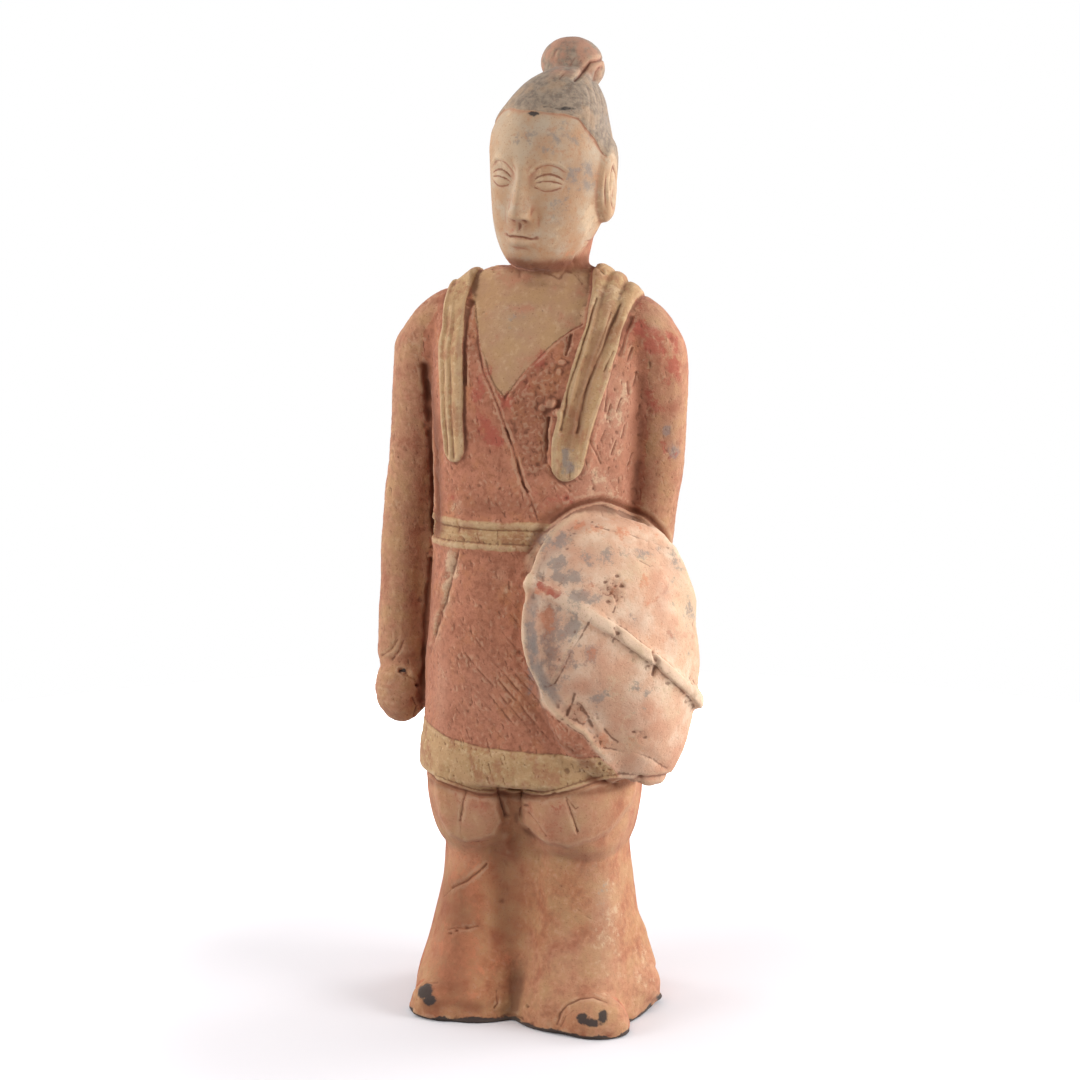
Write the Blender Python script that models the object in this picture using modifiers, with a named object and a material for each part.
"""Pottery warrior figurine: a standing man of reddish fired clay in a belted robe and wide trousers.

His hair is drawn up into a knot, his right arm hangs at his side with the fist closed on a lost
staff, and his left arm holds a domed shield across his hip. The whole figure is one piece of clay,
so its rough volumes are laid together, fused into one skin and then carved, as the potter did.

Units are metres, +Z is up, the man faces -Y and his left hand is on the +X side. The origin is on
the flat underside, below the middle of the body.
"""

import math

import bmesh
import bpy
import numpy as np
from mathutils import Matrix, Vector

# The driving size: sole to the top of the hair knot. Pose and proportions are shares of it.
FIGURE_HEIGHT = 0.360

# Sizes of single features, each free to change by itself
SHIELD_LENGTH = 0.104
SHIELD_BULGE = 0.017
SHIELD_FULLNESS = 2.4
SHIELD_THICKNESS = 0.0065
SHIELD_BAND_WIDTH = 0.0050
SHIELD_BAND_RELIEF = 0.0017
LEFT_STRAP_WIDTH = 0.0165
RIGHT_STRAP_WIDTH = 0.0115
STRAP_RELIEF = 0.0015
STRAP_RIBS = 3
BELT_WIDTH = 0.0123
BELT_RELIEF = 0.0010
BELT_RIBS = 3
HEM_BAND_WIDTH = 0.0120
HEM_BAND_RELIEF = 0.0010
GROOVE_WIDTH = 0.0018
GROOVE_DEPTH = 0.0009
STAFF_HOLE_WIDTH = 0.0030
STAFF_HOLE_DEPTH = 0.0030

# How finely the skin is made: its cells, the rounds of smoothing that blend its creases, and the
# triangles that are left in it.
SKIN_CELL = FIGURE_HEIGHT / 330
SKIN_BLEND = 8
SKIN_SOFTNESS = 0.5
SKIN_TRIANGLES = 9900
RING_POINTS = 64
LOFT_STEPS = 10
LIMB_SMOOTHNESS = 6
LUMP_SIDES = 32
LUMP_RINGS = 20
SHIELD_GRID = 28
SHARP_ANGLE = 60
WELD = 0.00001

CLAY_COLOUR = (0.52, 0.27, 0.17, 1.0)
CLAY_ROUGHNESS = 0.9


def share(*values):
    """Shares of the figure's height as metres."""
    lengths = [value * FIGURE_HEIGHT for value in values]
    return lengths[0] if len(lengths) == 1 else Vector(lengths)


def clear_scene():
    for item in list(bpy.data.objects):
        bpy.data.objects.remove(item)


def new_object(name, mesh):
    item = bpy.data.objects.new(name, mesh)
    bpy.context.scene.collection.objects.link(item)
    return item


def smooth_rows(rows, steps):
    """The table's rows with Catmull-Rom rows between them, steps to a gap."""
    table = np.array(rows, float)
    padded = np.vstack([2 * table[0] - table[1], table, 2 * table[-1] - table[-2]])
    found = []
    for i in range(1, len(table)):
        before, start, end, after = padded[i - 1 : i + 3]
        for step in range(steps):
            t = step / steps
            found.append(
                0.5
                * (
                    2 * start
                    + (end - before) * t
                    + (2 * before - 5 * start + 4 * end - after) * t**2
                    + (3 * start - before - 3 * end + after) * t**3
                )
            )
    return np.vstack([found, table[-1:]])


def loft(name, rows):
    """A closed body through level sections.

    Each row holds shares of the height: level, middle x, middle y, half width, half depth to the
    front, half depth to the back. Its last number is the squareness, 2 for an ellipse.
    """
    shape = bmesh.new()
    rings = []
    for level, x, y, wide, front, back, power in smooth_rows(rows, LOFT_STEPS):
        ring = []
        for i in range(RING_POINTS):
            angle = 2 * math.pi * i / RING_POINTS
            across, along = math.cos(angle), math.sin(angle)
            deep = back if along > 0 else front
            point = share(
                x + wide * math.copysign(abs(across) ** (2 / power), across),
                y + deep * math.copysign(abs(along) ** (2 / power), along),
                level,
            )
            ring.append(shape.verts.new(point))
        rings.append(ring)
    for low, high in zip(rings, rings[1:]):
        for i in range(RING_POINTS):
            j = (i + 1) % RING_POINTS
            shape.faces.new((low[i], low[j], high[j], high[i]))
    shape.faces.new(rings[0][::-1])
    shape.faces.new(rings[-1])
    bmesh.ops.recalc_face_normals(shape, faces=shape.faces)
    mesh = bpy.data.meshes.new(name)
    shape.to_mesh(mesh)
    shape.free()
    return new_object(name, mesh)


def limb(name, rows):
    """A round limb along a smooth line. Each row is x, y, z and radius, in shares of the height."""
    path = bpy.data.curves.new(name, "CURVE")
    path.dimensions = "3D"
    path.bevel_depth = 1.0
    path.bevel_resolution = LIMB_SMOOTHNESS
    path.use_fill_caps = True
    points = smooth_rows(rows, LOFT_STEPS)
    spline = path.splines.new("POLY")
    spline.points.add(len(points) - 1)
    for slot, row in zip(spline.points, points):
        slot.co = (*share(*row[:3]), 1.0)
        slot.radius = share(row[3])
    mesh = baked(new_object(name + "_line", path))
    shape = bmesh.new()
    shape.from_mesh(mesh)
    bmesh.ops.remove_doubles(shape, verts=shape.verts, dist=WELD)
    bmesh.ops.recalc_face_normals(shape, faces=shape.faces)
    shape.to_mesh(mesh)
    shape.free()
    return new_object(name, mesh)


def egg(name, middle, radii, turn=Matrix.Identity(3)):
    """An egg of clay: a sphere with three radii in metres, turned and put in place."""
    mesh = bpy.data.meshes.new(name)
    shape = bmesh.new()
    bmesh.ops.create_uvsphere(shape, u_segments=LUMP_SIDES, v_segments=LUMP_RINGS, radius=1.0)
    place = Matrix.Translation(middle) @ (turn @ Matrix.Diagonal(radii)).to_4x4()
    bmesh.ops.transform(shape, matrix=place, verts=shape.verts)
    shape.to_mesh(mesh)
    shape.free()
    return new_object(name, mesh)


def lump(name, middle, radii, turn=Matrix.Identity(3)):
    """An egg of clay with its middle and radii in shares of the height."""
    return egg(name, share(*middle), share(*radii), turn)


# Robe: from the hem up over the hips, waist and chest to the shoulders
ROBE = [
    # level, x, y, half width, front, back, squareness
    (0.249, 0.003, 0.000, 0.117, 0.098, 0.088, 2.35),
    (0.280, 0.003, 0.000, 0.1165, 0.098, 0.088, 2.35),
    (0.340, 0.003, 0.000, 0.115, 0.094, 0.086, 2.30),
    (0.420, 0.003, 0.000, 0.1105, 0.086, 0.080, 2.30),
    (0.500, 0.003, 0.000, 0.1055, 0.079, 0.075, 2.30),
    (0.560, 0.004, 0.002, 0.108, 0.078, 0.075, 2.30),
    (0.640, 0.007, 0.004, 0.113, 0.077, 0.077, 2.30),
    (0.700, 0.008, 0.006, 0.116, 0.068, 0.073, 2.25),
    (0.731, 0.008, 0.008, 0.119, 0.056, 0.062, 2.15),
    (0.748, 0.008, 0.010, 0.104, 0.044, 0.050, 2.05),
    (0.761, 0.009, 0.010, 0.083, 0.034, 0.040, 2.0),
    (0.773, 0.011, 0.010, 0.056, 0.026, 0.030, 2.0),
]

# Breeches: one of the two puffed bags that hang below the hem, mirrored for the other
BREECHES = [
    (0.166, 0.049, -0.002, 0.030, 0.045, 0.045, 2.0),
    (0.171, 0.050, -0.003, 0.043, 0.062, 0.061, 2.05),
    (0.183, 0.051, -0.004, 0.0515, 0.075, 0.071, 2.1),
    (0.206, 0.052, -0.004, 0.0565, 0.083, 0.079, 2.15),
    (0.238, 0.053, -0.004, 0.0590, 0.087, 0.083, 2.2),
    (0.280, 0.053, -0.004, 0.0560, 0.084, 0.080, 2.2),
]

# Trousers: one flared leg, mirrored for the other, and the web of cloth between them
LEG = [
    (-0.020, 0.051, -0.006, 0.078, 0.106, 0.098, 2.05),
    (0.000, 0.051, -0.006, 0.078, 0.106, 0.098, 2.05),
    (0.014, 0.051, -0.006, 0.077, 0.104, 0.097, 2.05),
    (0.034, 0.052, -0.005, 0.073, 0.097, 0.094, 2.0),
    (0.066, 0.051, -0.003, 0.0640, 0.083, 0.086, 2.0),
    (0.101, 0.049, -0.001, 0.0580, 0.073, 0.076, 2.0),
    (0.154, 0.047, 0.000, 0.0520, 0.067, 0.068, 2.0),
    (0.240, 0.045, 0.000, 0.0500, 0.066, 0.066, 2.0),
]
WEB = [
    (-0.020, 0.000, 0.000, 0.060, 0.076, 0.080, 2.0),
    (0.000, 0.000, 0.000, 0.060, 0.076, 0.080, 2.0),
    (0.050, 0.000, 0.000, 0.058, 0.070, 0.072, 2.0),
    (0.120, 0.000, 0.000, 0.054, 0.060, 0.059, 2.0),
    (0.220, 0.000, 0.000, 0.052, 0.056, 0.054, 2.0),
]
LEGS_SHIFT = 0.006

# At the ground: the toes, and the hem that trails outside the left foot
FEET = [
    # x, y, z, then three radii
    (0.092, -0.088, 0.004, 0.040, 0.031, 0.034),
    (-0.068, -0.084, 0.004, 0.040, 0.031, 0.034),
    (0.098, -0.012, 0.022, 0.040, 0.052, 0.032),
]

# Arms, from inside the shoulder to the wrist, and the clay that joins them to the robe
RIGHT_ARM = [
    # x, y, z, radius
    (-0.060, 0.010, 0.738, 0.022),
    (-0.093, 0.010, 0.724, 0.030),
    (-0.115, 0.010, 0.695, 0.0345),
    (-0.124, 0.010, 0.650, 0.0310),
    (-0.1325, 0.010, 0.590, 0.0275),
    (-0.1405, 0.009, 0.520, 0.0260),
    (-0.1455, 0.004, 0.440, 0.0250),
    (-0.1460, -0.004, 0.366, 0.0245),
    (-0.1455, -0.006, 0.358, 0.0190),
    (-0.1450, -0.007, 0.345, 0.0180),
]
RIGHT_JOIN = [
    (-0.108, 0.012, 0.660, 0.015),
    (-0.119, 0.012, 0.520, 0.014),
    (-0.122, 0.004, 0.330, 0.014),
]
RIGHT_FIST_MIDDLE = (-0.1430, -0.008, 0.326)
RIGHT_FIST_RADII = (0.0285, 0.030, 0.0370)
LEFT_ARM = [
    (0.068, 0.010, 0.738, 0.022),
    (0.103, 0.010, 0.724, 0.030),
    (0.124, 0.010, 0.697, 0.0345),
    (0.130, 0.012, 0.650, 0.0315),
    (0.131, 0.014, 0.585, 0.0275),
    (0.125, 0.012, 0.525, 0.0265),
    (0.120, 0.002, 0.470, 0.0260),
    (0.112, -0.030, 0.428, 0.0240),
    (0.105, -0.060, 0.410, 0.0230),
]
LEFT_FIST_MIDDLE = (0.104, -0.066, 0.405)
LEFT_FIST_RADII = (0.028, 0.026, 0.028)

# Neck, head and hair knot
NECK = [
    (0.016, 0.010, 0.735, 0.044),
    (0.017, 0.010, 0.770, 0.038),
    (0.022, 0.012, 0.805, 0.040),
    (0.026, 0.014, 0.840, 0.040),
]
HEAD_MIDDLE = (0.0226, -0.004, 0.871)
HEAD_TURN = -10
HEAD_NOD = 10
HEAD_LEAN = 6
HEAD = [
    # level above the head's middle, x, y, half width, front, back, squareness
    (-0.0970, 0.000, -0.026, 0.008, 0.010, 0.010, 2.0),
    (-0.0930, 0.000, -0.024, 0.026, 0.031, 0.024, 2.1),
    (-0.0790, 0.000, -0.016, 0.041, 0.048, 0.044, 2.1),
    (-0.0550, 0.000, -0.007, 0.0525, 0.059, 0.058, 2.15),
    (-0.0250, 0.000, 0.000, 0.0575, 0.066, 0.064, 2.15),
    (0.0100, -0.001, 0.000, 0.0600, 0.067, 0.067, 2.1),
    (0.0400, -0.004, 0.002, 0.0560, 0.063, 0.066, 2.1),
    (0.0650, 0.001, 0.005, 0.0455, 0.051, 0.056, 2.0),
    (0.0830, 0.003, 0.010, 0.0320, 0.034, 0.040, 2.0),
    (0.0930, 0.006, 0.012, 0.0180, 0.020, 0.026, 2.0),
    (0.0970, 0.006, 0.012, 0.0060, 0.008, 0.010, 2.0),
]
EAR_MIDDLE = (0.0570, 0.008, -0.014)
EAR_RADII = (0.0080, 0.0180, 0.0330)
EAR_FLARE = 18
KNOT = [
    # x, y, z, then three radii
    (0.0335, 0.030, 0.9780, 0.0295, 0.0270, 0.0240),
    (0.0520, 0.022, 0.9710, 0.0150, 0.0170, 0.0160),
]

# Shield: its middle, which way it faces, and its outline as radii round its middle
SHIELD_MIDDLE = (0.1038, -0.0628, 0.4021)
SHIELD_FACES = 35
SHIELD_TIP = 9
SHIELD_OUTLINE = [
    # angle from level, radius as a share of the length
    (0, 0.323),
    (28, 0.336),
    (56, 0.400),
    (74, 0.440),
    (92, 0.465),
    (105, 0.462),
    (123, 0.430),
    (149, 0.362),
    (177, 0.337),
    (213, 0.320),
    (247, 0.340),
    (266, 0.430),
    (280, 0.530),
    (290, 0.538),
    (309, 0.440),
    (329, 0.370),
    (360, 0.323),
]
SHIELD_BAND_TURN = -36.5
SHIELD_LINES = [
    # lines cut in its face, each from and to a place in shares of the length
    ((-0.063, 0.372), (0.213, 0.294)),
    ((-0.265, -0.082), (-0.162, 0.123)),
    ((0.055, -0.382), (0.167, -0.460)),
]
# Where the carving of its face fades out, in shares of the outline's radius
SHIELD_RIM = (1.0, 1.06)
# The clay pressed in behind it to hold it to the robe: its middle and radii, across and up in shares
# of the shield's length and outwards in shares of its bulge
SHIELD_PAD_MIDDLE = (0.00, -0.05, -0.25)
SHIELD_PAD_RADII = (0.27, 0.44, 0.80)

# Straps over the shoulders: middle lines on the chest and on the back
LEFT_STRAP_FRONT = [
    # level, x
    (0.588, 0.0625),
    (0.643, 0.0745),
    (0.716, 0.0895),
    (0.756, 0.0900),
]
RIGHT_STRAP_FRONT = [(0.590, -0.0640), (0.640, -0.0690), (0.710, -0.0715), (0.756, -0.0740)]
LEFT_STRAP_BACK = [(0.560, 0.0580), (0.756, 0.0900)]
RIGHT_STRAP_BACK = [(0.560, -0.0540), (0.756, -0.0740)]
# The least that a strap narrows to, seen from the front, where it turns over the shoulder
STRAP_SLOPE = 0.2
# Above these levels the straps run on over the shoulders, past the robe's own skin
SHOULDER_LEVELS = (0.700, 0.720)

# Dress: the belt's and hem band's middles, and the lines cut in the chest and skirt
BELT_LEVEL = 0.504
HEM_BAND_LEVEL = 0.268
LEFT_COLLAR = [
    # x, level
    (0.0620, 0.707),
    (0.0290, 0.672),
    (-0.0070, 0.640),
]
RIGHT_COLLAR = [
    (-0.0490, 0.707),
    (-0.0275, 0.666),
    (-0.0070, 0.640),
    (0.0107, 0.592),
    (0.0213, 0.558),
    (0.0367, 0.543),
]
SKIRT_FOLD = [(-0.0587, 0.486), (-0.0730, 0.434), (-0.0900, 0.390)]
COLLAR_SINK = 0.0022
COLLAR_EDGE = 0.003
NECKLINE_LEVELS = (0.715, 0.735)
# How far out the robe's own skin reaches, in shares of its radius, and how softly its hem ends
ROBE_SKIN = (1.03, 1.07)
HEM_EDGE = 0.004

# Fist: where the staff stood
STAFF_HOLE = (-0.1300, -0.0290, 0.3487)
HOLE_EDGE = (0.6, 1.3)

# Hair: the level of its edge above the head's middle, by the angle round from the face
HAIRLINE = [
    (0, 0.065),
    (40, 0.064),
    (58, 0.060),
    (78, 0.038),
    (92, 0.012),
    (106, -0.022),
    (125, -0.050),
    (180, -0.056),
]
HAIR_RELIEF = 0.0022
HAIR_EDGE = (-0.002, 0.003)
# The hair keeps above this level of the figure and off the ears
HAIR_LOWEST = 0.80
EAR_CLEAR = (0.016, 0.030)

# Face, in the head's frame: soft swellings and hollows pushed out of a plain egg
FACE = [
    # x (both sides where it isn't 0), level, reach across, reach up, push outwards
    (0.0260, 0.0200, 0.0200, 0.0060, 0.0020),
    (0.0255, 0.0035, 0.0170, 0.0105, -0.0052),
    (0.0110, 0.0010, 0.0060, 0.0100, -0.0026),
    (0.0262, -0.0010, 0.0130, 0.0065, 0.0056),
    (0.0370, -0.0260, 0.0180, 0.0180, 0.0022),
    (0.0160, -0.0300, 0.0060, 0.0120, -0.0012),
    (0.0090, -0.0345, 0.0050, 0.0058, 0.0052),
    (0.0000, -0.0580, 0.0230, 0.0160, 0.0026),
    (0.0000, -0.0525, 0.0150, 0.0036, 0.0032),
    (0.0000, -0.0627, 0.0130, 0.0044, 0.0038),
    (0.0190, -0.0575, 0.0040, 0.0040, -0.0016),
    (0.0000, -0.0720, 0.0150, 0.0050, -0.0020),
    (0.0000, -0.0840, 0.0170, 0.0100, 0.0040),
]
NOSE_ROOT = 0.012
NOSE_TIP = -0.038
NOSE_WIDTHS = (0.0050, 0.0095)
NOSE_HEIGHTS = (0.0030, 0.0175)
NOSE_ARCH = 1.3
NOSE_UNDERSIDE = (-0.005, 0.002)
BROW_REACH = 0.014
# The slits of the eyes and mouth: x, level and half length, then their depth and half width
EYE_SLIT = (0.0262, -0.0015, 0.0110)
MOUTH_SLIT = (0.0, -0.0572, 0.0165)
SLIT_DEPTH = 0.0022
SLIT_WIDTH = 0.0022
SLIT_EVEN = 0.7
# How far forward of the head's axis the face starts
FACE_STARTS = (0.020, 0.036)


def head_frame():
    """The turned frame of the head: x to its left, -y out of the face, z to the crown."""
    turn = Matrix.Rotation(math.radians(HEAD_TURN), 3, "Z")
    nod = Matrix.Rotation(math.radians(HEAD_NOD), 3, "X")
    lean = Matrix.Rotation(math.radians(HEAD_LEAN), 3, "Y")
    return turn @ lean @ nod


def shield_frame():
    """The shield's frame: x level across it, y up it and z out of its face."""
    face = math.radians(SHIELD_FACES)
    tip = math.radians(SHIELD_TIP)
    out = Vector((math.sin(face) * math.cos(tip), -math.cos(face) * math.cos(tip), math.sin(tip)))
    level = Vector((0, 0, 1)).cross(out).normalized()
    return Matrix((level, out.cross(level), out)).transposed()


def shield_radius(angle):
    """The outline's radius in metres at an angle in radians, on a smooth curve through its table."""
    rows = smooth_rows(SHIELD_OUTLINE, LOFT_STEPS)
    return SHIELD_LENGTH * np.interp(np.degrees(angle) % 360, rows[:, 0], rows[:, 1])


def shield():
    """A domed slab: a grid pulled to the outline and pushed up, then given its thickness."""
    bpy.ops.mesh.primitive_grid_add(x_subdivisions=SHIELD_GRID, y_subdivisions=SHIELD_GRID, size=2.0)
    plate = bpy.context.object
    plate.name = "shield"
    frame = shield_frame()
    middle = share(*SHIELD_MIDDLE)
    for vertex in plate.data.vertices:
        reach = max(abs(vertex.co.x), abs(vertex.co.y))
        angle = math.atan2(vertex.co.y, vertex.co.x)
        radius = reach * shield_radius(angle)
        rise = SHIELD_BULGE * (1 - reach**SHIELD_FULLNESS)
        local = Vector((radius * math.cos(angle), radius * math.sin(angle), rise))
        vertex.co = middle + frame @ local
    wall = plate.modifiers.new("thickness", "SOLIDIFY")
    wall.thickness = SHIELD_THICKNESS
    wall.offset = -1.0
    return plate


def shield_pad():
    """The clay pressed in between the shield's back and the robe."""
    frame = shield_frame()
    scale = Vector((SHIELD_LENGTH, SHIELD_LENGTH, SHIELD_BULGE))
    middle = share(*SHIELD_MIDDLE) + frame @ (Vector(SHIELD_PAD_MIDDLE) * scale)
    return egg("shield_pad", middle, Vector(SHIELD_PAD_RADII) * scale, frame)


def in_head(piece):
    """Moves a piece made round the origin into the turned frame of the head."""
    frame = head_frame()
    middle = share(*HEAD_MIDDLE)
    for vertex in piece.data.vertices:
        vertex.co = middle + frame @ vertex.co
    return piece


def mirrored(rows, side):
    """A leg's or bag's rows for the man's left (1) or right (-1), with the shift of the stance."""
    return [(row[0], side * row[1] + LEGS_SHIFT, *row[2:]) for row in rows]


def volumes():
    """The rough volumes of the figure before they are fused."""
    pieces = [loft("robe", ROBE), loft("web", mirrored(WEB, 1)), in_head(loft("head", HEAD))]
    pieces += [shield(), shield_pad()]
    for side in (-1, 1):
        pieces.append(loft("leg", mirrored(LEG, side)))
        pieces.append(loft("breeches", mirrored(BREECHES, side)))
        x, y, z = EAR_MIDDLE
        flare = Matrix.Rotation(math.radians(side * EAR_FLARE), 3, "Z")
        pieces.append(in_head(lump("ear", (side * x, y, z), EAR_RADII, flare)))
    for x, y, z, *radii in FEET:
        pieces.append(lump("foot", (x, y, z), radii))
    pieces.append(limb("right_arm", RIGHT_ARM))
    pieces.append(limb("right_join", RIGHT_JOIN))
    pieces.append(lump("right_fist", RIGHT_FIST_MIDDLE, RIGHT_FIST_RADII))
    pieces.append(limb("left_arm", LEFT_ARM))
    pieces.append(lump("left_fist", LEFT_FIST_MIDDLE, LEFT_FIST_RADII))
    pieces.append(limb("neck", NECK))
    for x, y, z, *radii in KNOT:
        pieces.append(lump("hair_knot", (x, y, z), radii))
    return pieces


def baked(item):
    """The object's mesh with its modifiers applied, in world space; the object goes."""
    graph = bpy.context.evaluated_depsgraph_get()
    mesh = bpy.data.meshes.new_from_object(item.evaluated_get(graph))
    mesh.transform(item.matrix_world)
    bpy.data.objects.remove(item)
    return mesh


def fuse(pieces):
    """One skin round all the volumes, as a mesh of small even cells with its creases blended."""
    joined = bmesh.new()
    for piece in pieces:
        mesh = baked(piece)
        joined.from_mesh(mesh)
        bpy.data.meshes.remove(mesh)
    mesh = bpy.data.meshes.new("skin")
    joined.to_mesh(mesh)
    joined.free()
    skin = new_object("skin", mesh)
    cells = skin.modifiers.new("cells", "REMESH")
    cells.mode = "VOXEL"
    cells.voxel_size = SKIN_CELL
    blend = skin.modifiers.new("blend", "SMOOTH")
    blend.factor = SKIN_SOFTNESS
    blend.iterations = SKIN_BLEND
    return baked(skin)


def fade(values, start, end):
    """0 up to start and 1 from end on, with a smooth change between."""
    part = np.clip((values - start) / (end - start), 0.0, 1.0)
    return part * part * (3 - 2 * part)


def line_distance(places, line):
    """Distance of flat places from a line through the given points."""
    nearest = np.full(len(places), np.inf)
    for start, end in zip(line, line[1:]):
        start, along = np.array(start), np.subtract(end, start)
        part = np.clip((places - start) @ along / (along @ along), 0.0, 1.0)
        nearest = np.minimum(nearest, np.linalg.norm(places - start - part[:, None] * along, axis=1))
    return nearest


def cut_line(distance):
    """The depth of a round-bottomed groove at a distance from its line, both in metres."""
    return -GROOVE_DEPTH * np.exp(-((2 * distance / GROOVE_WIDTH) ** 2))


def ribbed(across, width, ribs, relief):
    """A raised ribbon with ribs along it, by the distance from its middle line in metres."""
    height = relief * (1 - fade(np.abs(across), width / 2 - GROOVE_WIDTH / 2, width / 2 + GROOVE_WIDTH / 2))
    for i in range(1, ribs):
        height += cut_line(across - width * (i / ribs - 0.5))
    return height


def on_robe(points):
    """1 on the robe's own surface and 0 on the arms, shield and legs. Points are in shares."""
    rows = smooth_rows(ROBE, LOFT_STEPS)
    x, y, wide, front, back, power = (np.interp(points[:, 2], rows[:, 0], rows[:, i]) for i in range(1, 7))
    across = np.abs(points[:, 0] - x) / wide
    along = points[:, 1] - y
    deep = np.abs(along) / np.where(along > 0, back, front)
    reach = (across**power + deep**power) ** (1 / power)
    return (1 - fade(reach, *ROBE_SKIN)) * fade(points[:, 2], ROBE[0][0] - HEM_EDGE, ROBE[0][0])


def strap_relief(points, normals, front_line, back_line, width):
    """A ribbed strap that comes down from the shoulder on both sides and ends round."""
    level = points[:, 2]
    raised = np.zeros(len(points))
    is_front = points[:, 1] < ROBE[-1][2]
    for line, here in ((front_line, is_front), (back_line, ~is_front)):
        levels, places = zip(*line)
        slope = np.sqrt(np.maximum(1 - normals[:, 0] ** 2, STRAP_SLOPE))
        across = (points[:, 0] - np.interp(level, levels, places)) / slope * FIGURE_HEIGHT
        below = np.maximum(levels[0] - level, 0.0) * FIGURE_HEIGHT
        inside = 1 - fade(np.hypot(across, below), width / 2, width / 2 + GROOVE_WIDTH / 2)
        raised += here * inside * ribbed(across, width, STRAP_RIBS, STRAP_RELIEF)
    return raised


def dress_relief(points, normals):
    """Straps, belt, hem band, crossed collar and the fold of the skirt."""
    robe = on_robe(points)
    level = points[:, 2]
    raised = robe * ribbed((level - BELT_LEVEL) * FIGURE_HEIGHT, BELT_WIDTH, BELT_RIBS, BELT_RELIEF)
    raised += robe * ribbed((level - HEM_BAND_LEVEL) * FIGURE_HEIGHT, HEM_BAND_WIDTH, 1, HEM_BAND_RELIEF)
    chest = points[:, 1] < 0
    flat = points[:, [0, 2]]
    for line in (LEFT_COLLAR, RIGHT_COLLAR, SKIRT_FOLD):
        raised += robe * chest * cut_line(line_distance(flat, line) * FIGURE_HEIGHT)
    right, left = np.array(RIGHT_COLLAR[:3]), np.array(LEFT_COLLAR[::-1])
    open_left = np.interp(level, left[:, 1], left[:, 0]) - points[:, 0]
    open_right = points[:, 0] - np.interp(-level, -right[:, 1], right[:, 0])
    opening = fade(np.minimum(open_left, open_right), -COLLAR_EDGE, COLLAR_EDGE) * (level > left[0, 1])
    raised -= robe * chest * share(COLLAR_SINK) * opening * (1 - fade(level, *NECKLINE_LEVELS))
    straps = strap_relief(points, normals, LEFT_STRAP_FRONT, LEFT_STRAP_BACK, LEFT_STRAP_WIDTH)
    straps += strap_relief(points, normals, RIGHT_STRAP_FRONT, RIGHT_STRAP_BACK, RIGHT_STRAP_WIDTH)
    return raised + straps * np.maximum(robe, fade(level, *SHOULDER_LEVELS))


def shield_relief(points):
    """The band across the shield's dome and the lines cut in its face. Points are in metres."""
    frame = np.array(shield_frame())
    local = (points - np.array(share(*SHIELD_MIDDLE))) @ frame
    angle = np.arctan2(local[:, 1], local[:, 0])
    reach = np.hypot(local[:, 0], local[:, 1]) / shield_radius(angle)
    face = (1 - fade(reach, *SHIELD_RIM)) * fade(local[:, 2], -SHIELD_THICKNESS / 2, 0.0)
    turn = math.radians(SHIELD_BAND_TURN)
    across = local[:, 1] * math.cos(turn) - local[:, 0] * math.sin(turn)
    raised = ribbed(across, SHIELD_BAND_WIDTH, 1, SHIELD_BAND_RELIEF)
    for line in SHIELD_LINES:
        raised += cut_line(line_distance(local[:, :2], np.array(line) * SHIELD_LENGTH))
    return face * raised


def in_head_frame(points):
    """Points in shares, seen in the head's own frame."""
    return (points - np.array(HEAD_MIDDLE)) @ np.array(head_frame())


def face_push(points):
    """How far each point of the head moves out of the face, in shares of the height."""
    x, y, level = in_head_frame(points).T
    push = np.zeros(len(points))
    for place, height, reach_x, reach_z, amount in FACE:
        for side in (-1, 1) if place else (1,):
            from_middle = ((x - side * place) / reach_x) ** 2 + ((level - height) / reach_z) ** 2
            push += amount * np.exp(-from_middle)
    part = np.clip((NOSE_ROOT - level) / (NOSE_ROOT - NOSE_TIP), 0.0, 1.0)
    width = NOSE_WIDTHS[0] + (NOSE_WIDTHS[1] - NOSE_WIDTHS[0]) * part
    height = NOSE_HEIGHTS[0] + (NOSE_HEIGHTS[1] - NOSE_HEIGHTS[0]) * part**NOSE_ARCH
    ends = fade(level - NOSE_TIP, *NOSE_UNDERSIDE) * (1 - fade(level - NOSE_ROOT, 0.0, BROW_REACH))
    push += height * ends * np.exp(-((np.abs(x) / width) ** 2))
    for place, height, half in (EYE_SLIT, MOUTH_SLIT):
        for side in (-1, 1) if place else (1,):
            ends = 1 - fade(np.abs(x - side * place), SLIT_EVEN * half, half)
            push -= SLIT_DEPTH * ends * np.exp(-(((level - height) / SLIT_WIDTH) ** 2))
    return push * fade(-y, *FACE_STARTS)


def hair_relief(points):
    """The swept-up hair, standing a little proud of the skin along its edge."""
    x, y, level = in_head_frame(points).T
    angles, levels = zip(*HAIRLINE)
    round_head = np.degrees(np.arctan2(np.abs(x), -y))
    above = level - np.interp(round_head, angles, levels)
    deep, tall = EAR_CLEAR
    is_ear = np.exp(-(((y - EAR_MIDDLE[1]) / deep) ** 2) - ((level - EAR_MIDDLE[2]) / tall) ** 2)
    hair = fade(above, *HAIR_EDGE) * (points[:, 2] > HAIR_LOWEST)
    return share(HAIR_RELIEF) * hair * (1 - np.minimum(is_ear * 2, 1.0))


def hand_relief(points):
    """The hole in the fist where the staff stood. Points are in metres."""
    distance = np.linalg.norm(points - np.array(share(*STAFF_HOLE)), axis=1)
    radius = STAFF_HOLE_WIDTH / 2
    return -STAFF_HOLE_DEPTH * (1 - fade(distance / radius, *HOLE_EDGE))


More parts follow.
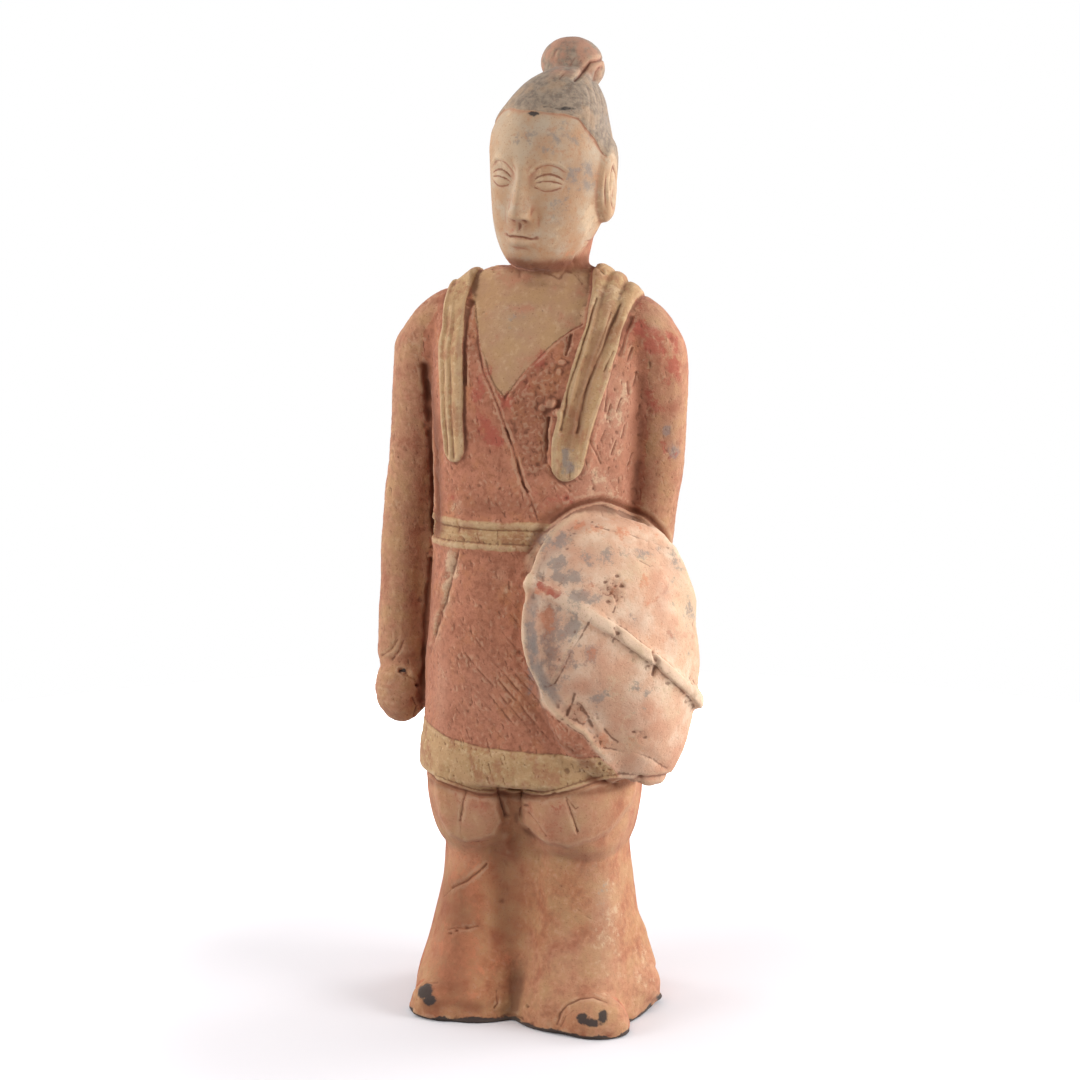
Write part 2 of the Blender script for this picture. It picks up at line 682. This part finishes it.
def carve(mesh):
    """Moves the skin's points to carve the dress, shield, face, hair and hand."""
    count = len(mesh.vertices)
    points = np.empty(3 * count)
    normals = np.empty(3 * count)
    mesh.vertices.foreach_get("co", points)
    mesh.vertices.foreach_get("normal", normals)
    points = points.reshape(-1, 3)
    normals = normals.reshape(-1, 3)
    shares = points / FIGURE_HEIGHT
    raised = dress_relief(shares, normals) + shield_relief(points)
    raised += hair_relief(shares) + hand_relief(points)
    forwards = -np.array(head_frame())[:, 1]
    pushed = face_push(shares) * FIGURE_HEIGHT
    carved = points + normals * raised[:, None] + forwards * pushed[:, None]
    mesh.vertices.foreach_set("co", carved.ravel())
    mesh.update()


def cut_flat(mesh):
    """Cuts the mesh at the ground and closes it with a flat underside."""
    shape = bmesh.new()
    shape.from_mesh(mesh)
    cut = bmesh.ops.bisect_plane(
        shape,
        geom=shape.verts[:] + shape.edges[:] + shape.faces[:],
        plane_co=(0, 0, 0),
        plane_no=(0, 0, -1),
        clear_outer=True,
    )
    rim = [item for item in cut["geom_cut"] if isinstance(item, bmesh.types.BMEdge)]
    bmesh.ops.contextual_create(shape, geom=rim)
    bmesh.ops.triangulate(shape, faces=shape.faces)
    shape.to_mesh(mesh)
    shape.free()


def clay():
    """Reddish fired clay, dull and dry."""
    material = bpy.data.materials.new("fired_clay")
    material.use_nodes = True
    shader = material.node_tree.nodes["Principled BSDF"]
    shader.inputs["Base Color"].default_value = CLAY_COLOUR
    shader.inputs["Roughness"].default_value = CLAY_ROUGHNESS
    shader.inputs["Metallic"].default_value = 0.0
    return material


def main():
    clear_scene()
    mesh = fuse(volumes())
    carve(mesh)
    rough = new_object("rough", mesh)
    thin = rough.modifiers.new("fewer_triangles", "DECIMATE")
    thin.ratio = SKIN_TRIANGLES / (2 * len(mesh.polygons))
    mesh = baked(rough)
    cut_flat(mesh)
    mesh.shade_smooth()
    mesh.set_sharp_from_angle(angle=math.radians(SHARP_ANGLE))
    mesh.materials.append(clay())
    figure = bpy.data.objects.new("warrior_figure", mesh)
    group = bpy.data.collections.new("pottery_warrior")
    bpy.context.scene.collection.children.link(group)
    group.objects.link(figure)


main()
